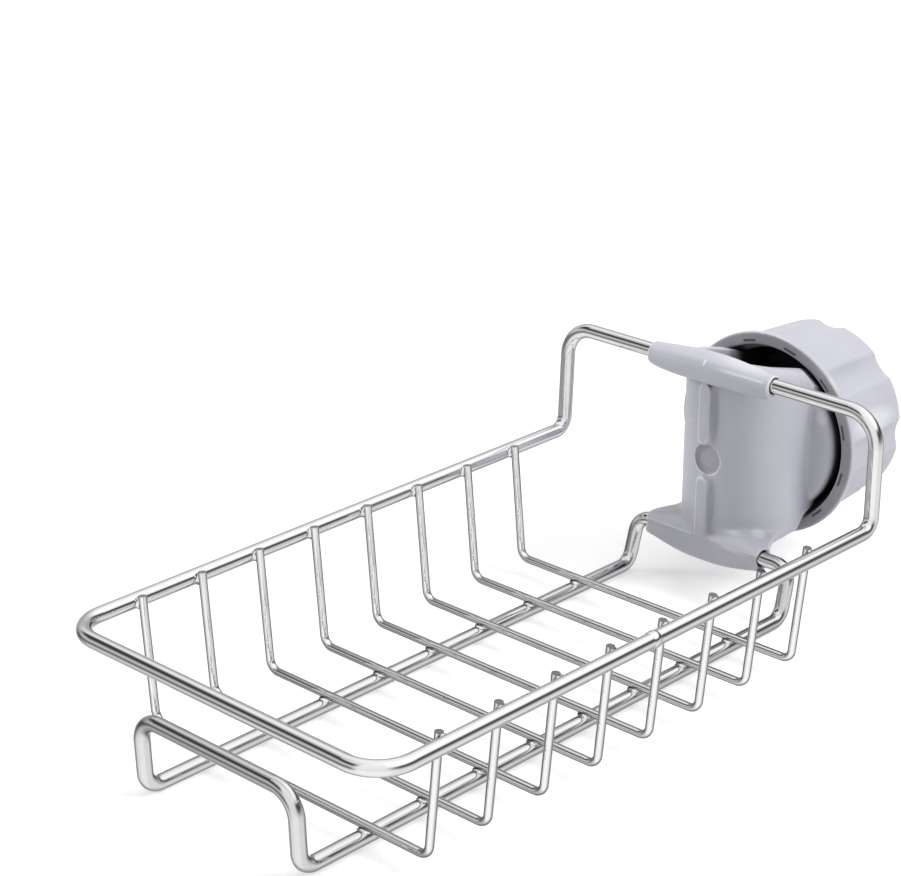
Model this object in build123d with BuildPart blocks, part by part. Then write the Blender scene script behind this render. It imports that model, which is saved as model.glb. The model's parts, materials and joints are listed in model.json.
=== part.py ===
from build123d import *
import os

os.makedirs("parts", exist_ok=True)

# Wire and basket sizes in millimetres
thick_wire_radius = 2.0
thin_wire_radius = 1.1
rim_half_width = 52.0
rim_height = 35.5
rim_end_bend = 10.0
riser_lean = 0.85
riser_bend = 4.0
handle_height = 66.1
handle_half_width = 51.5
handle_bend = 8.5
rail_half_width = 26.2
rail_inset = 1.2
rail_end_inset = 0.95
rail_bend = 4.5
end_bar_height = 21.5
end_bar_bend = 6.5
foot_wire_height = 15.6
foot_wire_setback = 2.35
foot_wire_half_width = 25.9
foot_wire_bend = 4.5

# Cross wire sizes
cross_wire_count = 8
first_cross_wire = 23.85
cross_wire_pitch = 19.1
last_wire_to_end = 21.2
basket_length = first_cross_wire + (cross_wire_count - 1) * cross_wire_pitch + last_wire_to_end
cross_wire_foot_inset = 5.8
cross_wire_top_inset = 2.6
cross_wire_floor = 4.95
cross_wire_overhang = 1.9
cross_wire_bend = 3.0

# Clamp position
clamp_shift = 2.2
pipe_radius = 10.9
knob_axis_height = 39.7

# Clamp body sizes
body_setback = 17.7
body_radius = 16.4
body_wall = 3.4
body_back = 16.0
crest_rise = 3.9
top_knee_setback = 8.0
top_knee_rise = 0.9
top_end_setback = 33.7
top_end_drop = 6.4
top_edge_round = 3.2
toe_height = 9.6
heel_setback = 6.3
heel_height = 16.3
arch_setback = 21.5
bottom_end_height = 19.6
shoulder_blend_start = 20.5
shoulder_blend_start_radius = 29.6
shoulder_blend_end = 25.4
shoulder_blend_end_radius = 25.0
shoulder_blend_tail = 31.5

# Threaded jaw sizes
jaw_radius = 22.9
jaw_start = 22.2
jaw_root_radius = 15.5
jaw_full_setback = 28.4
jaw_nose_start = 39.4
jaw_end = 41.0
jaw_nose_drop = 1.6

# Sleeve and foot sizes
wire_clearance = 0.15
bore_mouth_flare = 0.2
sleeve_shift = 1.2
sleeve_half_length = 20.2
sleeve_end_radius = 3.1
sleeve_end_sag = 0.45
sleeve_shoulder_radius = 4.0
sleeve_shoulder = 12.0
sleeve_shoulder_sag = 0.5
sleeve_centre_radius = 4.4
sleeve_centre_sag = 0.15
foot_half_length = 19.4
foot_end_radius = 3.5
foot_centre_radius = 6.0
foot_front_reach = 3.7
shelf_front_height = 16.0
shelf_rear_reach = 0.8
shelf_height = 19.8
shelf_end_height = 18.4
shelf_level_half_width = 12.5
foot_mouth_flare = 0.45
web_front_reach = 2.0
web_end_reach = 1.5
web_waist_reach = 8.1
web_waist_half_width = 16.8

# Front rib and mould recess sizes
rib_front = 0.25
rib_half_width = 1.9
rib_shift = 0.7
upper_rib_drop = 4.8
upper_rib_bottom = 43.6
lower_rib_top = 34.6
lower_rib_bottom = 15.8
recess_radius = 4.2
recess_shift = 0.4
recess_depth = 1.6
recess_height = 39.2

# Knob sizes
knob_face = 27.3
knob_back = 55.6
flange_radius = 28.9
flange_thickness = 1.6
flange_edge = 0.4
neck_length = 1.2
grip_front_radius = 27.4
grip_back_radius = 25.7
flute_count = 8
flute_depth = 1.4
flute_radius = 9.5
flute_phase = 20.4
flute_softening = 1.6
grip_back_edge = 1.3
mouth_radius = 25.2
mouth_depth = 3.6
mouth_edge = 0.4
thread_clearance = 0.3
knob_wall = 3.0
hub_radius = 8.0

# Pressure pad sizes
pad_disc_radius = 19.5
pad_disc_front = 42.8
pad_disc_thickness = 3.0
pad_side_clearance = 0.5
pad_block_half_height = 14.0
pad_pipe_gap = 0.5
pad_cradle_radius = 14.0
pad_cradle_reach = 4.7
pad_edge = 0.8
seat_gap = 0.3

# Shared helper lengths
cut_overrun = 2.0

# Places worked out from the sizes above
basket_end = basket_length + thick_wire_radius
clamp_end_x = (knob_back - basket_end) / 2
free_end_x = clamp_end_x + basket_length
clamp_y = -clamp_shift
body_x = clamp_end_x - body_setback
body_front_x = body_x + body_radius
pipe_x = body_front_x - body_wall - pipe_radius
body_crest_height = handle_height + crest_rise
upper_rib_top = handle_height - upper_rib_drop
handle_x = clamp_end_x - riser_lean
foot_wire_x = clamp_end_x - foot_wire_setback
rail_start_x = clamp_end_x + rail_inset
rail_end_x = free_end_x - rail_end_inset
knob_face_x = clamp_end_x - knob_face
knob_back_x = clamp_end_x - knob_back
grip_front_x = knob_face_x - flange_thickness / 2
knob_bore_radius = jaw_radius + thread_clearance
slot_cut_height = max(body_crest_height, knob_axis_height + jaw_radius) + cut_overrun
pad_back_x = clamp_end_x - pad_disc_front - pad_disc_thickness
clamp_plane = Plane(origin=(0, clamp_y, 0), x_dir=(1, 0, 0), z_dir=(0, -1, 0))
turn_plane = Plane(origin=(0, clamp_y, knob_axis_height), x_dir=(1, 0, 0), z_dir=(0, -1, 0))
knob_axis = Axis(origin=(0, clamp_y, knob_axis_height), direction=(1, 0, 0))
handle_axis = Axis(origin=(handle_x, clamp_y, handle_height), direction=(0, 1, 0))
cross_wire_foot_half_width = rim_half_width - cross_wire_foot_inset
cross_wire_top_half_width = rim_half_width - cross_wire_top_inset
cross_wire_top = rim_height + cross_wire_overhang
foot_axis = Axis(origin=(foot_wire_x, clamp_y, foot_wire_height), direction=(0, 1, 0))
rail_height = thick_wire_radius


# Upright sketch plane facing the basket's free end
def upright_plane(x, y, z):
    return Plane(origin=(x, y, z), x_dir=(0, 1, 0), z_dir=(1, 0, 0))


# Rim wire with its raised handle at the clamp end
with BuildPart() as rim_wire:
    with BuildLine() as rim_path:
        FilletPolyline(
            (0, -rim_half_width, rim_height),
            (free_end_x, -rim_half_width, rim_height),
            (free_end_x, rim_half_width, rim_height),
            (0, rim_half_width, rim_height),
            radius=rim_end_bend,
        )
        riser_middle = (rim_height + handle_height) / 2
        riser_middle_x = (clamp_end_x + handle_x) / 2
        riser_middle_y = (rim_half_width + handle_half_width) / 2
        FilletPolyline(
            (0, rim_half_width, rim_height),
            (clamp_end_x, rim_half_width, rim_height),
            (riser_middle_x, riser_middle_y, riser_middle),
            radius=riser_bend,
        )
        FilletPolyline(
            (riser_middle_x, riser_middle_y, riser_middle),
            (handle_x, handle_half_width, handle_height),
            (handle_x, -handle_half_width, handle_height),
            (riser_middle_x, -riser_middle_y, riser_middle),
            radius=handle_bend,
        )
        FilletPolyline(
            (riser_middle_x, -riser_middle_y, riser_middle),
            (clamp_end_x, -rim_half_width, rim_height),
            (0, -rim_half_width, rim_height),
            radius=riser_bend,
        )
    with BuildSketch(Plane(origin=(0, -rim_half_width, rim_height), z_dir=(1, 0, 0))):
        Circle(thick_wire_radius)
    sweep()
rim_wire.part.label = "rim_wire"

# Lower frame wire: two rails, the end bar and the raised foot wire
with BuildPart() as lower_frame_wire:
    with BuildLine() as frame_path:
        end_middle = (rail_height + end_bar_height) / 2
        end_middle_x = (rail_end_x + free_end_x) / 2
        foot_middle = (rail_height + foot_wire_height) / 2
        foot_middle_x = (rail_start_x + foot_wire_x) / 2
        foot_middle_y = (rail_half_width + foot_wire_half_width) / 2
        FilletPolyline(
            (foot_middle_x, -foot_middle_y, foot_middle),
            (rail_start_x, -rail_half_width, rail_height),
            (rail_end_x, -rail_half_width, rail_height),
            (end_middle_x, -rail_half_width, end_middle),
            radius=rail_bend,
        )
        FilletPolyline(
            (end_middle_x, -rail_half_width, end_middle),
            (free_end_x, -rail_half_width, end_bar_height),
            (free_end_x, rail_half_width, end_bar_height),
            (end_middle_x, rail_half_width, end_middle),
            radius=end_bar_bend,
        )
        FilletPolyline(
            (end_middle_x, rail_half_width, end_middle),
            (rail_end_x, rail_half_width, rail_height),
            (rail_start_x, rail_half_width, rail_height),
            (foot_middle_x, foot_middle_y, foot_middle),
            radius=rail_bend,
        )
        FilletPolyline(
            (foot_middle_x, foot_middle_y, foot_middle),
            (foot_wire_x, foot_wire_half_width, foot_wire_height),
            (foot_wire_x, -foot_wire_half_width, foot_wire_height),
            (foot_middle_x, -foot_middle_y, foot_middle),
            radius=foot_wire_bend,
        )
    with BuildSketch(Plane(origin=frame_path.line @ 0, z_dir=frame_path.line % 0)):
        Circle(thick_wire_radius)
    sweep()
lower_frame_wire.part.label = "lower_frame_wire"

# Cross wires, one bent upright U after another
cross_wires = []
for wire_index in range(cross_wire_count):
    wire_x = clamp_end_x + first_cross_wire + wire_index * cross_wire_pitch
    with BuildPart() as cross_wire:
        with BuildLine() as cross_path:
            FilletPolyline(
                (wire_x, -cross_wire_top_half_width, cross_wire_top),
                (wire_x, -cross_wire_foot_half_width, cross_wire_floor),
                (wire_x, cross_wire_foot_half_width, cross_wire_floor),
                (wire_x, cross_wire_top_half_width, cross_wire_top),
                radius=cross_wire_bend,
            )
        with BuildSketch(Plane(origin=cross_path.line @ 0, z_dir=cross_path.line % 0)):
            Circle(thin_wire_radius)
        sweep()
    cross_wire.part.label = f"cross_wire_{wire_index + 1}"
    cross_wires.append(cross_wire.part)

# Foot of the clamp: a belly round the foot wire and a flat web running back to the body
with BuildPart() as foot_web:
    with BuildSketch(upright_plane(foot_wire_x, clamp_y, foot_wire_height)):
        with BuildLine():
            Polyline(
                (foot_half_length, foot_end_radius),
                (foot_half_length, 0),
                (-foot_half_length, 0),
                (-foot_half_length, foot_end_radius),
            )
            ThreePointArc(
                (-foot_half_length, foot_end_radius),
                (0, foot_centre_radius),
                (foot_half_length, foot_end_radius),
            )
        make_face()
    revolve(axis=foot_axis)
    with BuildSketch(Plane(origin=(foot_wire_x, clamp_y, heel_height))):
        Polygon(
            (web_front_reach, -foot_half_length),
            (web_front_reach, foot_half_length),
            (-web_end_reach, foot_half_length),
            (-web_waist_reach, web_waist_half_width),
            (body_x - foot_wire_x, body_radius),
            (body_x - foot_wire_x, -body_radius),
            (-web_waist_reach, -web_waist_half_width),
            (-web_end_reach, -foot_half_length),
            align=None,
        )
    extrude(amount=foot_centre_radius)
    with BuildSketch(clamp_plane):
        with BuildLine():
            Polyline(
                (foot_wire_x + foot_front_reach, 0),
                (foot_wire_x + foot_front_reach, shelf_front_height),
                (foot_wire_x - shelf_rear_reach, shelf_height),
                (body_x, shelf_height),
                (body_x, 0),
                close=True,
            )
        make_face()
    extrude(amount=foot_half_length, both=True, mode=Mode.INTERSECT)
    with BuildSketch(upright_plane(body_x, clamp_y, 0)):
        Polygon(
            (foot_half_length, 0),
            (foot_half_length, shelf_end_height),
            (shelf_level_half_width, shelf_height),
            (-shelf_level_half_width, shelf_height),
            (-foot_half_length, shelf_end_height),
            (-foot_half_length, 0),
            align=None,
        )
    extrude(amount=body_setback, mode=Mode.INTERSECT)

# Clamp bracket: body, sleeve on the handle, foot on the foot wire and two jaws
with BuildPart() as clamp_bracket:
    with BuildSketch(Plane.XY):
        with Locations((body_x, clamp_y)):
            Circle(body_radius)
        with Locations((body_x - body_back / 2, clamp_y)):
            Rectangle(body_back, 2 * body_radius)
    extrude(amount=body_crest_height)
    with BuildSketch(clamp_plane):
        with BuildLine():
            Polyline(
                (body_front_x + cut_overrun, toe_height),
                (foot_wire_x, toe_height),
                (clamp_end_x - heel_setback, heel_height),
                (clamp_end_x - arch_setback, heel_height),
                (clamp_end_x - top_end_setback, bottom_end_height),
                (clamp_end_x - top_end_setback, handle_height - top_end_drop),
                (clamp_end_x - top_knee_setback, handle_height + top_knee_rise),
                (handle_x, body_crest_height),
                (body_front_x + cut_overrun, body_crest_height),
                close=True,
            )
        make_face()
    extrude(amount=body_radius + cut_overrun, both=True, mode=Mode.INTERSECT)
    crown_edges = faces().filter_by(lambda face: face.normal_at().Z > 0.5).edges()
    fillet(crown_edges - crown_edges.filter_by(Axis.Y), top_edge_round)
    with BuildSketch(turn_plane):
        with BuildLine():
            Polyline(
                (clamp_end_x + cut_overrun, 0),
                (clamp_end_x + cut_overrun, body_crest_height),
                (clamp_end_x - shoulder_blend_start, body_crest_height),
                (clamp_end_x - shoulder_blend_start, shoulder_blend_start_radius),
                (clamp_end_x - shoulder_blend_end, shoulder_blend_end_radius),
                (clamp_end_x - shoulder_blend_tail, jaw_radius),
                (clamp_end_x - top_end_setback, jaw_radius),
                (clamp_end_x - top_end_setback, 0),
                close=True,
            )
        make_face()
    revolve(axis=knob_axis, mode=Mode.INTERSECT)
    with BuildSketch(turn_plane):
        with BuildLine():
            Polyline(
                (clamp_end_x - jaw_start, 0),
                (clamp_end_x - jaw_start, jaw_root_radius),
            )
            Spline(
                (clamp_end_x - jaw_start, jaw_root_radius),
                (clamp_end_x - jaw_full_setback, jaw_radius),
                tangents=[(-1, 0), (-1, 0)],
            )
            Polyline(
                (clamp_end_x - jaw_full_setback, jaw_radius),
                (clamp_end_x - jaw_nose_start, jaw_radius),
                (clamp_end_x - jaw_end, jaw_radius - jaw_nose_drop),
                (clamp_end_x - jaw_end, 0),
                (clamp_end_x - jaw_start, 0),
            )
        make_face()
    revolve(axis=knob_axis)
    # Tapered sleeve round the handle
    for place, sag, radius in (
        (-sleeve_half_length, sleeve_end_sag, sleeve_end_radius),
        (-sleeve_shoulder, sleeve_shoulder_sag, sleeve_shoulder_radius),
        (0, sleeve_centre_sag, sleeve_centre_radius),
        (sleeve_shoulder, sleeve_shoulder_sag, sleeve_shoulder_radius),
        (sleeve_half_length, sleeve_end_sag, sleeve_end_radius),
    ):
        sleeve_y = clamp_y + sleeve_shift + place
        sleeve_origin = (handle_x, sleeve_y, handle_height - sag)
        with BuildSketch(Plane(origin=sleeve_origin, x_dir=(1, 0, 0), z_dir=(0, 1, 0))):
            Circle(radius)
    loft()
    # Foot joined on
    add(foot_web.part)
    # Front rib in two lengths with the round mould recess between them
    for rib_top, rib_bottom in ((upper_rib_top, upper_rib_bottom), (lower_rib_top, lower_rib_bottom)):
        with BuildSketch(upright_plane(body_front_x - body_wall, clamp_y, 0)):
            with Locations((-rib_shift, (rib_top + rib_bottom) / 2)):
                SlotOverall(rib_top - rib_bottom, 2 * rib_half_width, rotation=90)
        extrude(amount=clamp_end_x + rib_front - body_front_x + body_wall)
    with BuildSketch(upright_plane(body_front_x - recess_depth, clamp_y - recess_shift, recess_height)):
        Circle(recess_radius)
    extrude(amount=recess_depth + cut_overrun, mode=Mode.SUBTRACT)
    # Pipe slot open to the back
    with BuildSketch(Plane.XY):
        with Locations((pipe_x, clamp_y)):
            Circle(pipe_radius)
        slot_length = pipe_x - clamp_end_x + jaw_end + cut_overrun
        with Locations((pipe_x - slot_length / 2, clamp_y)):
            Rectangle(slot_length, 2 * pipe_radius)
    extrude(amount=slot_cut_height, mode=Mode.SUBTRACT)
    # Wire bores with flared mouths
    bore_radius = thick_wire_radius + wire_clearance
    for bore_x, bore_y, bore_height, half_length, flare, bore_axis in (
        (handle_x, clamp_y + sleeve_shift, handle_height, sleeve_half_length, bore_mouth_flare, handle_axis),
        (foot_wire_x, clamp_y, foot_wire_height, foot_half_length, foot_mouth_flare, foot_axis),
    ):
        with BuildSketch(upright_plane(bore_x, bore_y, bore_height)):
            with BuildLine():
                Polyline(
                    (half_length + cut_overrun, 0),
                    (half_length + cut_overrun, bore_radius + flare),
                    (half_length, bore_radius + flare),
                    (half_length - flare, bore_radius),
                    (flare - half_length, bore_radius),
                    (-half_length, bore_radius + flare),
                    (-half_length - cut_overrun, bore_radius + flare),
                    (-half_length - cut_overrun, 0),
                    close=True,
                )
            make_face()
        revolve(axis=bore_axis, mode=Mode.SUBTRACT)
clamp_bracket.part.label = "clamp_bracket"

# Knob: fluted grip, flange, mouth, threaded bore and pushing hub
with BuildPart() as clamp_knob:
    for section_x, section_radius in ((grip_front_x, grip_front_radius), (knob_back_x, grip_back_radius)):
        section_share = section_radius / grip_front_radius
        with BuildSketch(upright_plane(section_x, clamp_y, knob_axis_height)):
            Circle(section_radius)
            flute_distance = section_radius + (flute_radius - flute_depth) * section_share
            with PolarLocations(flute_distance, flute_count, flute_phase + 360 / flute_count / 2):
                Circle(flute_radius * section_share, mode=Mode.SUBTRACT)
            fillet(vertices(), flute_softening * section_share)
    loft(ruled=True)
    fillet(faces().sort_by(Axis.X)[0].edges(), grip_back_edge)
    with BuildSketch(turn_plane):
        with BuildLine():
            Polyline(
                (knob_face_x, 0),
                (knob_face_x, flange_radius - flange_edge),
                (knob_face_x - flange_edge, flange_radius),
                (knob_face_x - flange_thickness, flange_radius),
                (knob_face_x - flange_thickness - neck_length, grip_front_radius - flute_depth),
                (knob_face_x - flange_thickness - neck_length, 0),
                close=True,
            )
        make_face()
    revolve(axis=knob_axis)
    with BuildSketch(turn_plane):
        with BuildLine():
            Polyline(
                (knob_face_x + cut_overrun, 0),
                (knob_face_x + cut_overrun, mouth_radius + mouth_edge),
                (knob_face_x, mouth_radius + mouth_edge),
                (knob_face_x - mouth_edge, mouth_radius),
                (knob_face_x - mouth_depth, mouth_radius),
                (knob_face_x - mouth_depth - (mouth_radius - knob_bore_radius), knob_bore_radius),
                (knob_back_x + knob_wall, knob_bore_radius),
                (knob_back_x + knob_wall, hub_radius),
                (pad_back_x - seat_gap, hub_radius),
                (pad_back_x - seat_gap, 0),
                close=True,
            )
        make_face()
    revolve(axis=knob_axis, mode=Mode.SUBTRACT)
clamp_knob.part.label = "clamp_knob"

# Pressure pad: disc behind the jaws and cradle block between them
with BuildPart() as pressure_pad:
    with BuildSketch(upright_plane(pad_back_x, clamp_y, knob_axis_height)):
        Circle(pad_disc_radius)
    extrude(amount=pad_disc_thickness)
    with BuildSketch(upright_plane(pad_back_x, clamp_y, knob_axis_height)):
        RectangleRounded(2 * (pipe_radius - pad_side_clearance), 2 * pad_block_half_height, pad_edge)
    extrude(amount=pipe_x - pipe_radius - pad_back_x + pad_cradle_reach)
    with BuildSketch(Plane.XY.offset(knob_axis_height)):
        with Locations((pipe_x - pipe_radius - pad_pipe_gap + pad_cradle_radius, clamp_y)):
            Circle(pad_cradle_radius)
    extrude(amount=pad_block_half_height + cut_overrun, both=True, mode=Mode.SUBTRACT)
pressure_pad.part.label = "pressure_pad"

# Files for the shared library
for piece in [
    rim_wire.part,
    lower_frame_wire.part,
    *cross_wires,
    clamp_bracket.part,
    clamp_knob.part,
    pressure_pad.part,
]:
    export_step(piece, f"parts/{piece.label}.step")
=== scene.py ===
import json
import math

import bmesh
import bpy
from mathutils import Matrix, Vector
from mathutils import noise as turbulence


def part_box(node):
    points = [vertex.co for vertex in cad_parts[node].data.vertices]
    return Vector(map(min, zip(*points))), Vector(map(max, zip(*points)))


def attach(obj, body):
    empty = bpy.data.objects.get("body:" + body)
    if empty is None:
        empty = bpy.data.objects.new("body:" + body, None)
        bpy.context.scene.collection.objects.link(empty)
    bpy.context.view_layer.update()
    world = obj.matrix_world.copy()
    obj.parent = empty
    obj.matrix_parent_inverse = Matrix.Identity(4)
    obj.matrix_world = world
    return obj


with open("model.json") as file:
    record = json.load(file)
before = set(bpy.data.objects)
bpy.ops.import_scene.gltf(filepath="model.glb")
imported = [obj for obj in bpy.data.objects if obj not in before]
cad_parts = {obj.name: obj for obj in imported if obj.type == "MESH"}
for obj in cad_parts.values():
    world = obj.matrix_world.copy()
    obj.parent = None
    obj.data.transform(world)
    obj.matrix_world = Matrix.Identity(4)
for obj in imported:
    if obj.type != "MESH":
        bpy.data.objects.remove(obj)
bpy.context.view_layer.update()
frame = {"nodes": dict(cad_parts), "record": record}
scene = bpy.context.scene
scene.view_settings.view_transform = "Standard"

# Camera, placed as the photograph was taken
LENS_PIXELS = 2533.94
FRAME_WIDTH, FRAME_HEIGHT = 901, 876
CENTRE_U, CENTRE_V = 415.92, 437.72
VIEW_AZIMUTH, VIEW_ELEVATION = math.radians(44.22), math.radians(21.69)
VIEW_ROLL = math.radians(-0.21)
CAMERA_PLACE = Vector((0.44524, 0.38375, 0.29802))
SENSOR_WIDTH = 36.0
CLIP_START, CLIP_END = 0.01, 20.0


def make_camera():
    data = bpy.data.cameras.new("camera")
    data.sensor_width = SENSOR_WIDTH
    data.lens = LENS_PIXELS * SENSOR_WIDTH / FRAME_WIDTH
    data.shift_x = ((FRAME_WIDTH - 1) / 2 - CENTRE_U) / FRAME_WIDTH
    data.shift_y = (CENTRE_V - (FRAME_HEIGHT - 1) / 2) / FRAME_WIDTH
    data.clip_start, data.clip_end = CLIP_START, CLIP_END
    back = Vector((
        math.cos(VIEW_ELEVATION) * math.cos(VIEW_AZIMUTH),
        math.cos(VIEW_ELEVATION) * math.sin(VIEW_AZIMUTH),
        math.sin(VIEW_ELEVATION),
    ))
    side = Vector((0, 0, 1)).cross(back).normalized()
    up = back.cross(side)
    turned_side = side * math.cos(VIEW_ROLL) + up * math.sin(VIEW_ROLL)
    turned_up = up * math.cos(VIEW_ROLL) - side * math.sin(VIEW_ROLL)
    camera = bpy.data.objects.new("camera", data)
    turn = Matrix((turned_side, turned_up, back)).transposed().to_4x4()
    camera.matrix_world = Matrix.Translation(CAMERA_PLACE) @ turn
    scene.collection.objects.link(camera)
    scene.camera = camera


# The enabled socket of a node whose sockets share one name
def in_use(sockets, name="Value"):
    return next(socket for socket in sockets if socket.enabled and socket.name == name)


# A node tree, with short ways to add what the materials and the corner rounding use
class Graph:
    def __init__(self, tree):
        self.nodes, self.links = tree.nodes, tree.links

    # Link a socket to another, or give it a number, a vector or a colour
    def feed(self, socket, value):
        if isinstance(value, bpy.types.NodeSocket):
            self.links.new(value, socket)
        elif socket.type == "RGBA":
            socket.default_value = (*value, 1.0)
        else:
            socket.default_value = value

    def add(self, kind, **inputs):
        node = self.nodes.new(kind)
        for name, value in inputs.items():
            self.feed(node.inputs[name], value)
        return node

    def place(self):
        return self.add("ShaderNodeTexCoord").outputs["Object"]

    def normal(self):
        return self.add("ShaderNodeNewGeometry").outputs["Normal"]

    def attribute(self, name):
        node = self.add("ShaderNodeAttribute")
        node.attribute_name = name
        return node.outputs["Fac"]

    def axes(self, vector):
        return self.add("ShaderNodeSeparateXYZ", Vector=vector).outputs

    def noise(self, coords, scale, detail=3.0):
        return self.add("ShaderNodeTexNoise", Vector=coords, Scale=scale, Detail=detail).outputs["Fac"]

    def bump(self, height, strength, distance):
        return self.add("ShaderNodeBump", Height=height, Strength=strength, Distance=distance).outputs["Normal"]

    def ramp(self, value, stops):
        node = self.add("ShaderNodeValToRGB", Fac=value)
        while len(node.color_ramp.elements) < len(stops):
            node.color_ramp.elements.new(0.5)
        for element, (place, colour) in zip(node.color_ramp.elements, stops):
            element.position = place
            element.color = (*colour, 1.0) if isinstance(colour, tuple) else (colour, colour, colour, 1.0)
        return node.outputs["Color"]

    def spread(self, value, low, high, smooth=False, start=0.0, full=1.0):
        node = self.add("ShaderNodeMapRange", Value=value)
        node.interpolation_type = "SMOOTHSTEP" if smooth else "LINEAR"
        for name, number in (("From Min", start), ("From Max", full), ("To Min", low), ("To Max", high)):
            node.inputs[name].default_value = number
        return node.outputs["Result"]

    # 0 before the start and 1 past the full value, with an even curve between them
    def soft_step(self, value, start, full):
        return self.spread(value, 0.0, 1.0, True, start, full)

    def blended(self, mode, share, first, second):
        node = self.nodes.new("ShaderNodeMix")
        node.data_type = "RGBA"
        node.blend_type = mode
        for value, name in ((share, "Factor"), (first, "A"), (second, "B")):
            self.feed(node.inputs[name], value)
        return node.outputs["Result"]

    def maths(self, operation, *values):
        node = self.nodes.new("ShaderNodeMath")
        node.operation = operation
        for value, socket in zip(values, node.inputs):
            self.feed(socket, value)
        return node.outputs[0]

    def vector(self, operation, *values):
        node = self.nodes.new("ShaderNodeVectorMath")
        node.operation = operation
        for value, socket in zip(values, node.inputs):
            self.feed(socket, value)
        return node.outputs["Value" if operation in ("LENGTH", "DOT_PRODUCT") else "Vector"]

    def product(self, *values):
        total = values[0]
        for value in values[1:]:
            total = self.maths("MULTIPLY", total, value)
        return total

    def away_from(self, value, middle):
        return self.maths("ABSOLUTE", self.maths("SUBTRACT", value, middle))

    def distance(self, first, second):
        squares = [self.maths("MULTIPLY", value, value) for value in (first, second)]
        return self.maths("SQRT", self.maths("ADD", *squares))

    # Patches of painted highlight and painted shade, each fading out from its centre
    def patches(self, place, colour, spots):
        for centre, reach, tint, strength, core in spots:
            off = self.vector("SUBTRACT", place, Vector(centre) / MILLIMETRES)
            out = self.vector("LENGTH", self.vector("DIVIDE", off, Vector(reach) / MILLIMETRES))
            inside = self.maths("MULTIPLY", self.soft_step(out, 1.0, core), strength)
            colour = self.blended("MIX", inside, colour, tint)
        return colour


def new_material(name):
    material = bpy.data.materials.new(name)
    material.use_nodes = True
    return material, Graph(material.node_tree), material.node_tree.nodes["Principled BSDF"].inputs


# Lines of the clamp and the basket, in metres
MILLIMETRES = 1000
CLAMP_Y = -0.0022
HANDLE_X, HANDLE_Z = -0.0634, 0.0661
FOOT_X, FOOT_Z = -0.06493, 0.0156
FRONT_X = -0.0639
RIM_HEIGHT = 0.0355
SLEEVE_END = (0.0170, 0.0180)
SLEEVE_BOTTOM = (0.0560, 0.0600)
SHELF_TOP = 0.028
KNOB_LOW, KNOB_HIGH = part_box("clamp_knob")
KNOB_Y, KNOB_Z = (KNOB_LOW[1] + KNOB_HIGH[1]) / 2, (KNOB_LOW[2] + KNOB_HIGH[2]) / 2

# Painted highlights and painted shade on the plastic: centre and reach in millimetres, tint, strength, and the
# share that is even
PAINTED_SHEEN, PAINTED_SHADE = (0.83, 0.83, 0.87), (0.20, 0.20, 0.23)
BRACKET_PAINTED_LIGHT = [
    ((-65.8, 5.0, 19.9), (2.5, 5.0, 0.9), PAINTED_SHEEN, 0.45, 0.2),
    ((-69.8, 11.8, 19.8), (2.5, 3.0, 1.8), PAINTED_SHEEN, 0.45, 0.4),
    ((-62.6, 8.5, 16.2), (1.6, 8.0, 0.9), PAINTED_SHEEN, 0.45, 0.2),
    ((-63.3, 9.0, 69.5), (4.0, 12.0, 2.8), PAINTED_SHEEN, 0.40, 0.2),
    ((-88.4, 14.5, 57.5), (3.0, 4.0, 5.5), PAINTED_SHEEN, 0.35, 0.3),
    ((-88.9, 17.3, 49.6), (2.2, 2.5, 3.0), PAINTED_SHEEN, 0.40, 0.3),
    ((-59.9, -1.3, 68.5), (1.0, 0.35, 1.2), PAINTED_SHEEN, 0.85, 0.7),
    ((-65.6, -9.6, 48.1), (0.8, 0.5, 0.6), PAINTED_SHEEN, 0.45, 0.5),
    ((-65.2, -2.6, 39.2), (3.0, 4.1, 4.1), PAINTED_SHADE, 0.30, 0.93),
    ((-64.6, -0.5, 52.5), (2.5, 1.9, 10.5), PAINTED_SHADE, 0.36, 0.55),
    ((-64.6, -0.6, 26.5), (2.5, 1.7, 10.0), PAINTED_SHADE, 0.26, 0.55),
]
KNOB_PAINTED_LIGHT = [
    ((-104.0, 23.6, 46.0), (15.0, 3.0, 4.8), PAINTED_SHEEN, 0.50, 0.3),
    ((-104.0, 15.2, 60.0), (11.0, 2.6, 2.6), PAINTED_SHADE, 0.16, 0.3),
    ((-91.0, 24.0, 28.0), (2.0, 6.0, 7.0), PAINTED_SHEEN, 0.30, 0.3),
]

# Colours and finish of the plastic, the rubber and the steel
PLASTIC_TINTS = [(0.3, (0.500, 0.500, 0.560)), (0.7, (0.530, 0.530, 0.592))]
RUBBER_TINTS = [(0.3, (0.010, 0.010, 0.010)), (0.7, (0.022, 0.022, 0.022))]
PAINTED_EDGE_HIGHLIGHT = (0.80, 0.80, 0.82)
PAINTED_HIGHLIGHT_SIDE = (0.66, -0.66, 0.35)
PAINTED_RIDGE_HIGHLIGHT = (0.80, 0.80, 0.84)
SHELF_PAINTED_SHADE = (0.84, 0.84, 0.84)
FLANGE_PAINTED_SHADE = (0.64, 0.64, 0.63)
SLOT_TINT = (0.08, 0.08, 0.09)
PAINTED_SHADE_REACH = 0.012
PAINTED_SHADE_SAMPLES = 8
PAINTED_OUTLINE_FADE = 0.2

# The flange's twelve short slots: half their pitch and where each starts, their ring and half width
SLOT_HALF_PITCH, SLOT_START = math.radians(15.0), math.radians(10.5)
SLOT_RING, SLOT_HALF_WIDTH = 0.0264, 0.00035

# The painted highlight along the sleeve: its angle over the handle, its half width and its even part
RIDGE_ANGLE, RIDGE_EDGE, RIDGE_CORE = math.radians(25.0), math.radians(9.0), math.radians(3.0)


# Polished steel, with painted shade on its outline where the wire turns away from the view
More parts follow.
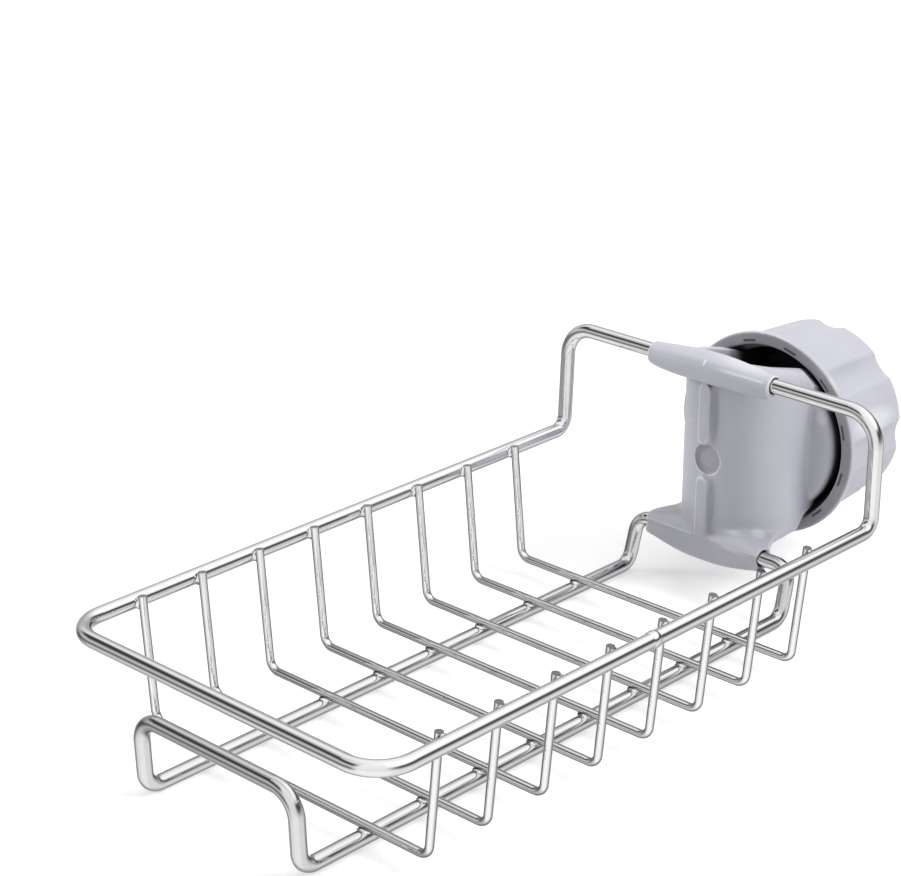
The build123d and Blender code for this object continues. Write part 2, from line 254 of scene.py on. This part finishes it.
def steel_material(name, painted_outline, painted_outline_start, tint):
    material, graph, shader = new_material(name)
    shader["Metallic"].default_value = 1.0
    place = graph.place()
    cloud = graph.noise(place, 45.0, 4.0)
    grain = graph.noise(place, 900.0, 5.0)
    bright = tint + 0.06
    colour = graph.ramp(cloud, [(0.3, (tint, tint, tint + 0.01)), (0.7, (bright, bright, bright))])
    # Painted shade on the outline, standing in for dark reflections at grazing angles
    slant = graph.add("ShaderNodeLayerWeight").outputs["Facing"]
    painted_outline_end = painted_outline_start + PAINTED_OUTLINE_FADE
    painted_rim = graph.ramp(slant, [(0.0, 1.0), (painted_outline_start, 1.0), (painted_outline_end, painted_outline), (1.0, painted_outline)])
    graph.feed(shader["Base Color"], graph.blended("MULTIPLY", 1.0, colour, painted_rim))
    graph.feed(shader["Roughness"], graph.spread(grain, 0.02, 0.07))
    graph.feed(shader["Normal"], graph.bump(grain, 0.012, 0.0002))
    return material


# Moulded plastic, with painted highlights on its edges on the lit side and painted shade in its crevices
def plastic_material(name, marks, spots):
    material, graph, shader = new_material(name)
    place = graph.place()
    cloud = graph.noise(place, 60.0, 4.0)
    grain = graph.noise(place, 2600.0)
    colour = graph.ramp(cloud, PLASTIC_TINTS)
    # Painted edge highlights fall only on the lit side of the plastic
    lit = graph.ramp(graph.vector("DOT_PRODUCT", graph.normal(), PAINTED_HIGHLIGHT_SIDE), [(0.25, 0.15), (0.65, 1.0)])
    parts = graph.axes(place)
    # A painted highlight on the sleeve's end edges, whichever way they face
    sleeve_end = graph.product(
        graph.soft_step(parts["Y"], *SLEEVE_END),
        graph.soft_step(parts["Z"], *SLEEVE_BOTTOM),
    )
    lit = graph.blended("ADD", sleeve_end, lit, (0.9, 0.9, 0.9))
    # Painted highlight on edges that stand out from their surroundings
    edge_highlight = graph.ramp(graph.attribute("edge_rise"), [(0.35, 0.0), (0.90, 0.65)])
    edge_highlight = graph.blended("MULTIPLY", 1.0, edge_highlight, lit)
    colour = graph.blended("MIX", edge_highlight, colour, PAINTED_EDGE_HIGHLIGHT)
    colour = graph.patches(place, colour, spots)
    colour = marks(graph, place, colour)
    # Painted shade in crevices and hollows, darker where a point is more closed in
    shade = graph.add("ShaderNodeAmbientOcclusion", Distance=PAINTED_SHADE_REACH)
    shade.samples = PAINTED_SHADE_SAMPLES
    painted_crevice_shade = graph.ramp(shade.outputs["AO"], [(0.0, 0.02), (0.25, 0.30), (0.55, 0.88), (0.8, 1.0)])
    graph.feed(shader["Base Color"], graph.blended("MULTIPLY", 1.0, colour, painted_crevice_shade))
    graph.feed(shader["Roughness"], graph.spread(grain, 0.34, 0.46))
    graph.feed(shader["Normal"], graph.bump(grain, 0.05, 0.00006))
    shader["Specular IOR Level"].default_value = 0.45
    return material


def rubber_material():
    material, graph, shader = new_material("black_rubber")
    grain = graph.noise(graph.place(), 1500.0, 4.0)
    graph.feed(shader["Base Color"], graph.ramp(grain, RUBBER_TINTS))
    graph.feed(shader["Roughness"], graph.spread(grain, 0.6, 0.8))
    graph.feed(shader["Normal"], graph.bump(grain, 0.2, 0.0001))
    return material


# The knob's flange face: painted shade makes its forward face darker than its sides, with twelve short slots
# round its axis
def flange_shade_and_slots(graph, place, colour):
    parts = graph.axes(place)
    across = graph.maths("SUBTRACT", parts["Y"], KNOB_Y)
    high = graph.maths("SUBTRACT", parts["Z"], KNOB_Z)
    turn = graph.maths("ADD", graph.maths("ARCTAN2", high, across), math.pi)
    in_slot = graph.maths("GREATER_THAN", graph.maths("PINGPONG", turn, SLOT_HALF_PITCH), SLOT_START)
    in_ring = graph.maths("COMPARE", graph.distance(across, high), SLOT_RING, SLOT_HALF_WIDTH)
    # Painted shade on the flange face that looks forward
    front = graph.ramp(graph.axes(graph.normal())["X"], [(0.6, 0.0), (0.9, 1.0)])
    colour = graph.blended("MULTIPLY", front, colour, FLANGE_PAINTED_SHADE)
    return graph.blended("MIX", graph.product(in_slot, in_ring, front), colour, SLOT_TINT)


# The bracket's painted light: painted shade on its jaws where they run into the knob's mouth, painted shade on
# its foot, a painted highlight along the sleeve and painted shade on the foot's shelf
def bracket_painted_light(graph, place, colour):
    parts = graph.axes(place)
    # Painted shade on the jaws, deepening into the knob's mouth
    depth = graph.maths("MULTIPLY", graph.maths("SUBTRACT", KNOB_HIGH[0], parts["X"]), 100.0)
    depth = graph.maths("ADD", depth, 0.5)
    shade = graph.ramp(depth, [(0.42, 1.0), (0.54, 0.75), (0.66, 0.32), (0.80, 0.05)])
    colour = graph.blended("MULTIPLY", 1.0, colour, shade)
    # Painted shade on the foot, darker towards the bottom
    low = graph.ramp(graph.maths("MULTIPLY", parts["Z"], 20.0), [(0.37, 0.90), (0.50, 1.0)])
    colour = graph.blended("MULTIPLY", 1.0, colour, low)
    # A painted highlight along the sleeve
    over_handle = graph.maths("SUBTRACT", parts["Z"], HANDLE_Z)
    past_handle = graph.maths("SUBTRACT", parts["X"], HANDLE_X)
    off_ridge = graph.away_from(graph.maths("ARCTAN2", over_handle, past_handle), RIDGE_ANGLE)
    ridge_highlight = graph.product(
        graph.soft_step(off_ridge, RIDGE_EDGE, RIDGE_CORE),
        graph.soft_step(parts["Y"], 0.001, 0.008),
        graph.soft_step(parts["Y"], 0.0185, 0.0165),
        graph.soft_step(parts["Z"], 0.0640, 0.0655),
        0.6,
    )
    colour = graph.blended("MIX", ridge_highlight, colour, PAINTED_RIDGE_HIGHLIGHT)
    # Painted shade on the upward faces of the foot's shelf
    upward = graph.ramp(graph.axes(graph.normal())["Z"], [(0.45, 0.0), (0.85, 1.0)])
    shelf = graph.maths("MULTIPLY", upward, graph.maths("LESS_THAN", parts["Z"], SHELF_TOP))
    return graph.blended("MULTIPLY", shelf, colour, SHELF_PAINTED_SHADE)


# Each steel: how dark its painted outline shade is, at which slant the outline starts, and its tint; the three
# are one steel, painted lighter or darker to stand in for the light on each set of wires
THIN_STEEL = steel_material("polished_thin_wire", 0.22, 0.25, 0.98)
RAIL_STEEL = steel_material("polished_rail_wire", 0.34, 0.36, 0.80)
MATERIALS = {
    "steel_wire": steel_material("polished_steel_wire", 0.40, 0.42, 0.90),
    "grey_plastic": plastic_material("moulded_grey_plastic", bracket_painted_light, BRACKET_PAINTED_LIGHT),
    "black_rubber": rubber_material(),
}
CROSS_WIRES = [f"cross_wire_{number}" for number in range(1, 9)]
OWN_MATERIALS = {name: THIN_STEEL for name in CROSS_WIRES}
OWN_MATERIALS["lower_frame_wire"] = RAIL_STEEL
OWN_MATERIALS["clamp_knob"] = plastic_material("knob_grey_plastic", flange_shade_and_slots, KNOB_PAINTED_LIGHT)


def dress_nodes():
    for part in frame["record"]["subparts"]:
        node = frame["nodes"][part["node"]]
        for slot in node.material_slots:
            slot.material = OWN_MATERIALS.get(part["node"], MATERIALS[part["material_slot"]])


# Cut ends of the cross wires
WIRE_TIP_ROUND = 0.0008
WIRE_TIP_STEPS = 5
WIRE_TIP_ANGLE = math.radians(60)


def round_wire_ends(name):
    tip = frame["nodes"][name].modifiers.new("wire_tip", "BEVEL")
    tip.width = WIRE_TIP_ROUND
    tip.segments = WIRE_TIP_STEPS
    tip.limit_method = "ANGLE"
    tip.angle_limit = WIRE_TIP_ANGLE


def add_basket_piece(name, work, material):
    mesh = bpy.data.meshes.new(name)
    for face in work.faces:
        face.smooth = True
    work.to_mesh(mesh)
    work.free()
    mesh.materials.append(material)
    piece = bpy.data.objects.new(name, mesh)
    scene.collection.objects.link(piece)
    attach(piece, "basket")


# Weld beads where each cross wire meets the rim and the lower rails
RIM_BEAD, RAIL_BEAD = (0.0018, 0.0011, 0.0017), (0.0018, 0.0018, 0.0007)
RIM_BEAD_INSET, RAIL_BEAD_INSET = 0.0019, 0.0020
RAIL_BEAD_HEIGHT = 0.0037
BEAD_UNEVENNESS, BEAD_FREQUENCY, BEAD_SEED_STEP = 0.22, 1.7, 3.1


def add_bead(work, centre, size, seed):
    made = bmesh.ops.create_icosphere(work, subdivisions=3, radius=1.0)
    for vert in made["verts"]:
        spot = vert.co * BEAD_FREQUENCY + Vector((seed * BEAD_SEED_STEP, 0, 0))
        swell = 1.0 + BEAD_UNEVENNESS * turbulence.noise(spot)
        vert.co = Vector(centre) + Vector(vert.co[axis] * swell * size[axis] for axis in range(3))


def make_welds():
    work = bmesh.new()
    rim_low, rim_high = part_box("rim_wire")
    rail_low, rail_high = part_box("lower_frame_wire")
    for number, name in enumerate(CROSS_WIRES):
        low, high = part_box(name)
        along = (low[0] + high[0]) / 2
        for side, rim_edge, wire_edge, rail_edge in (
            (-1, rim_low[1], low[1], rail_low[1]),
            (1, rim_high[1], high[1], rail_high[1]),
        ):
            meeting = (rim_edge + wire_edge) / 2 - side * RIM_BEAD_INSET
            rail = rail_edge - side * RAIL_BEAD_INSET
            add_bead(work, (along, meeting, RIM_HEIGHT), RIM_BEAD, number * 4 + side)
            add_bead(work, (along, rail, RAIL_BEAD_HEIGHT), RAIL_BEAD, number * 4 + side + 2)
    add_basket_piece("weld_beads", work, THIN_STEEL)


# The rim's butt weld: a low uneven band round the wire
BUTT_WELD_X, BUTT_WELD_Y = 0.0255, 0.0520
BUTT_WELD_LENGTH = 0.0026
BUTT_WELD_SWELL, BUTT_WELD_SUNK = 0.00028, 0.00004
BUTT_WELD_UNEVENNESS, BUTT_WELD_LONG_FREQUENCY, BUTT_WELD_ROUND_FREQUENCY = 0.35, 3, 1.5
BUTT_WELD_CROWN = 0.7
BUTT_WELD_STEPS, BUTT_WELD_SIDES = 12, 32
RIM_WIRE_RADIUS = 0.0020


def make_butt_weld():
    work = bmesh.new()
    rings = []
    for step in range(BUTT_WELD_STEPS + 1):
        share = step / BUTT_WELD_STEPS
        swell = BUTT_WELD_SWELL * math.sin(math.pi * share) ** BUTT_WELD_CROWN - BUTT_WELD_SUNK
        ring = []
        for turn in range(BUTT_WELD_SIDES):
            angle = math.tau * turn / BUTT_WELD_SIDES
            across, high = math.cos(angle), math.sin(angle)
            spot = Vector((
                share * BUTT_WELD_LONG_FREQUENCY,
                across * BUTT_WELD_ROUND_FREQUENCY,
                high * BUTT_WELD_ROUND_FREQUENCY,
            ))
            uneven = 1.0 + BUTT_WELD_UNEVENNESS * turbulence.noise(spot)
            out = RIM_WIRE_RADIUS + swell * uneven
            along = BUTT_WELD_X + (share - 0.5) * BUTT_WELD_LENGTH
            ring.append(work.verts.new((along, BUTT_WELD_Y + out * across, RIM_HEIGHT + out * high)))
        rings.append(ring)
    for first, second in zip(rings, rings[1:]):
        for turn in range(BUTT_WELD_SIDES):
            after = (turn + 1) % BUTT_WELD_SIDES
            work.faces.new((first[turn], first[after], second[after], second[turn]))
    add_basket_piece("rim_butt_weld", work, MATERIALS["steel_wire"])


# Moulded corners: the hard edges of the solids are rounded as a mould rounds them
CORNER_GRID = 0.00025
CORNER_FACTOR = 0.5
BRACKET_PASSES, KNOB_PASSES = 6, 4
FOOT_BLUR, RIB_BLUR = 40, 8
EDGE_BLUR = 4
EDGE_HEIGHT = 0.00005


def new_group(name):
    group = bpy.data.node_groups.new(name, "GeometryNodeTree")
    for way in ("INPUT", "OUTPUT"):
        group.interface.new_socket("Geometry", in_out=way, socket_type="NodeSocketGeometry")
    return group, Graph(group)


def blurred(graph, place, passes):
    node = graph.add("GeometryNodeBlurAttribute", Iterations=passes)
    node.data_type = "FLOAT_VECTOR"
    graph.feed(in_use(node.inputs), place)
    return in_use(node.outputs)


# Edge group: how far each point stands out from its surroundings, kept for the plastic's painted edge
# highlights
def edge_group():
    group, graph = new_group("edge_rise")
    place = graph.add("GeometryNodeInputPosition").outputs[0]
    normal = graph.add("GeometryNodeInputNormal").outputs[0]
    lift = graph.vector("SUBTRACT", place, blurred(graph, place, EDGE_BLUR))
    along = graph.vector("DOT_PRODUCT", lift, normal)
    store = graph.add("GeometryNodeStoreNamedAttribute", Name="edge_rise")
    store.data_type = "FLOAT"
    store.domain = "POINT"
    graph.feed(store.inputs["Geometry"], graph.add("NodeGroupInput").outputs[0])
    graph.feed(in_use(store.inputs), graph.maths("DIVIDE", along, EDGE_HEIGHT))
    graph.feed(graph.add("NodeGroupOutput").inputs[0], store.outputs[0])
    return group


# Softening group: the foot's top edges and the ribs are rounded further than the other corners
def softening_group():
    group, graph = new_group("foot_and_rib_softening")
    place = graph.add("GeometryNodeInputPosition").outputs[0]
    parts = graph.axes(place)
    from_middle = graph.away_from(parts["Y"], CLAMP_Y)
    from_wire = graph.distance(graph.away_from(parts["X"], FOOT_X), graph.away_from(parts["Z"], FOOT_Z))
    off_rib = graph.soft_step(from_middle, 0.0030, 0.0036)
    foot = graph.product(
        graph.soft_step(parts["Z"], 0.0235, 0.0205),
        graph.soft_step(parts["Z"], 0.0100, 0.0125),
        graph.soft_step(from_middle, 0.0185, 0.0160),
        graph.soft_step(from_wire, 0.00262, 0.0032),
        off_rib,
    )
    rib = graph.product(
        graph.maths("SUBTRACT", 1.0, off_rib),
        graph.soft_step(parts["X"], FRONT_X - 0.0012, FRONT_X - 0.0006),
        graph.soft_step(parts["Z"], 0.0620, 0.0600),
    )
    moved = place
    for share, passes in ((foot, FOOT_BLUR), (rib, RIB_BLUR)):
        node = graph.add("ShaderNodeMix")
        node.data_type = "VECTOR"
        graph.feed(node.inputs["Factor"], share)
        graph.feed(in_use(node.inputs, "A"), moved)
        graph.feed(in_use(node.inputs, "B"), blurred(graph, place, passes))
        moved = in_use(node.outputs, "Result")
    setter = graph.add("GeometryNodeSetPosition", Position=moved)
    graph.feed(setter.inputs["Geometry"], graph.add("NodeGroupInput").outputs[0])
    graph.feed(graph.add("NodeGroupOutput").inputs[0], setter.outputs[0])
    return group


def round_corners(name, passes, *groups):
    node = frame["nodes"][name]
    grid = node.modifiers.new("corner_grid", "REMESH")
    grid.mode = "VOXEL"
    grid.voxel_size = CORNER_GRID
    grid.use_smooth_shade = True
    soften = node.modifiers.new("corner_rounding", "SMOOTH")
    soften.factor = CORNER_FACTOR
    soften.iterations = passes
    for group in groups:
        node.modifiers.new(group.name, "NODES").node_group = group


# Studio: a pale floor that the camera sees as white far from the holder, with the shadow kept near it
FLOOR_SIZE, FLOOR_CELLS = 3.0, 8
FLOOR_GLOW = 0.37
FAR_GLOW = 0.33
FAR_START, FAR_FULL = 0.25, 0.9


def make_floor():
    mesh = bpy.data.meshes.new("floor")
    work = bmesh.new()
    bmesh.ops.create_grid(work, x_segments=FLOOR_CELLS, y_segments=FLOOR_CELLS, size=FLOOR_SIZE)
    work.to_mesh(mesh)
    work.free()
    floor = bpy.data.objects.new("floor", mesh)
    floor.visible_glossy = False
    scene.collection.objects.link(floor)
    material, graph, shader = new_material("floor_paper")
    shader["Roughness"].default_value = 0.9
    shader["Specular IOR Level"].default_value = 0.0
    place = graph.place()
    graph.feed(shader["Base Color"], graph.ramp(graph.noise(place, 30.0), [(0.2, 0.80), (0.8, 0.82)]))
    reach = graph.vector("LENGTH", place)
    far = graph.maths("MULTIPLY", graph.soft_step(reach, FAR_START, FAR_FULL), FAR_GLOW)
    seen = graph.add("ShaderNodeLightPath").outputs["Is Camera Ray"]
    graph.feed(shader["Emission Strength"], graph.maths("MULTIPLY", graph.maths("ADD", far, FLOOR_GLOW), seen))
    shader["Emission Color"].default_value = (1.0, 1.0, 1.0, 1.0)
    mesh.materials.append(material)


# The world as the metal sees it: brightness against height (sine of the angle over the horizon),
# to the left, to the right and between them. Other rays see an even grey, and the camera sees white.
AMBIENT = 0.50
STUDIO_LEFT = [
    (-1.0, 0.86), (-0.55, 0.84), (-0.45, 0.66), (-0.32, 0.34), (-0.22, 0.17), (-0.03, 0.17), (0.04, 0.34),
    (0.12, 0.54), (0.30, 0.52), (0.40, 0.30), (0.48, 0.11), (0.58, 0.04), (0.68, 0.05), (0.76, 0.55),
    (1.0, 0.95),
]
STUDIO_RIGHT = [
    (-1.0, 0.84), (-0.73, 0.78), (-0.42, 0.80), (-0.20, 0.68), (-0.04, 0.40), (0.08, 0.16), (0.24, 0.06),
    (0.38, 0.09), (0.47, 0.45), (0.54, 0.90), (0.66, 1.12), (1.0, 1.05),
]
STUDIO_MIDDLE = [
    (-1.0, 0.90), (-0.5, 0.95), (-0.30, 0.93), (-0.05, 0.80), (0.1, 0.84), (0.7, 0.88), (1.0, 0.95),
]
LEFT_WAY, LEFT_START, LEFT_FULL = (0.68, -0.73, 0.0), 0.60, 0.85
RIGHT_WAY, RIGHT_START, RIGHT_FULL = (-0.68, 0.73, 0.0), 0.2, 0.8


def make_world():
    world = bpy.data.worlds.new("studio")
    scene.world = world
    world.use_nodes = True
    graph = Graph(world.node_tree)
    direction = graph.add("ShaderNodeTexCoord").outputs["Generated"]
    height = graph.spread(graph.axes(direction)["Z"], 0.0, 1.0, start=-1.0)
    level = graph.vector("NORMALIZE", graph.vector("MULTIPLY", direction, (1.0, 1.0, 0.0)))

    def tower(stops):
        return graph.ramp(height, [((z + 1) / 2, grey) for z, grey in stops])

    def towards(way, start, full):
        return graph.soft_step(graph.vector("DOT_PRODUCT", level, way), start, full)

    to_left, to_right = towards(LEFT_WAY, LEFT_START, LEFT_FULL), towards(RIGHT_WAY, RIGHT_START, RIGHT_FULL)
    studio = graph.blended("MIX", to_left, tower(STUDIO_MIDDLE), tower(STUDIO_LEFT))
    studio = graph.blended("MIX", to_right, studio, tower(STUDIO_RIGHT))
    path = graph.add("ShaderNodeLightPath").outputs
    plain = graph.blended("MIX", path["Is Camera Ray"], (AMBIENT, AMBIENT, AMBIENT), (1.0, 1.0, 1.0))
    colour = graph.blended("MIX", path["Is Glossy Ray"], plain, studio)
    graph.feed(graph.nodes["Background"].inputs["Color"], colour)


# Lamps: place, size in metres, power in watts and the pieces that a gleaming lamp is kept to
LAMP_AIM = Vector((0, 0, 0.03))
PLASTIC_PIECES = [frame["nodes"][name] for name in ("clamp_bracket", "clamp_knob")]
LAMPS = [
    ("key", (-0.45, 0.75, 0.80), 0.5, 7.0, ()),
    ("top", (-0.1, 0.1, 1.3), 1.0, 4.2, ()),
    ("side", (0.45, -0.85, 0.40), 0.3, 3.0, ()),
    ("gleam", (0.19, -0.55, 0.84), 0.30, 1.6, PLASTIC_PIECES),
]


def make_lamp(name, place, size, power, gleam_on):
    data = bpy.data.lights.new(name, "AREA")
    data.shape = "DISK"
    data.size = size
    data.energy = power
    lamp = bpy.data.objects.new(name, data)
    lamp.location = place
    lamp.rotation_euler = (Vector(place) - LAMP_AIM).to_track_quat("Z", "Y").to_euler()
    lamp.visible_glossy = bool(gleam_on)
    if gleam_on:
        receivers = bpy.data.collections.new(name + "_receivers")
        for piece in gleam_on:
            receivers.objects.link(piece)
        lamp.light_linking.receiver_collection = receivers
    scene.collection.objects.link(lamp)


make_camera()
dress_nodes()
edges, softening = edge_group(), softening_group()
round_corners("clamp_bracket", BRACKET_PASSES, softening, edges)
round_corners("clamp_knob", KNOB_PASSES, edges)
for wire_name in CROSS_WIRES:
    round_wire_ends(wire_name)
make_welds()
make_butt_weld()
make_floor()
make_world()
for lamp_row in LAMPS:
    make_lamp(*lamp_row)
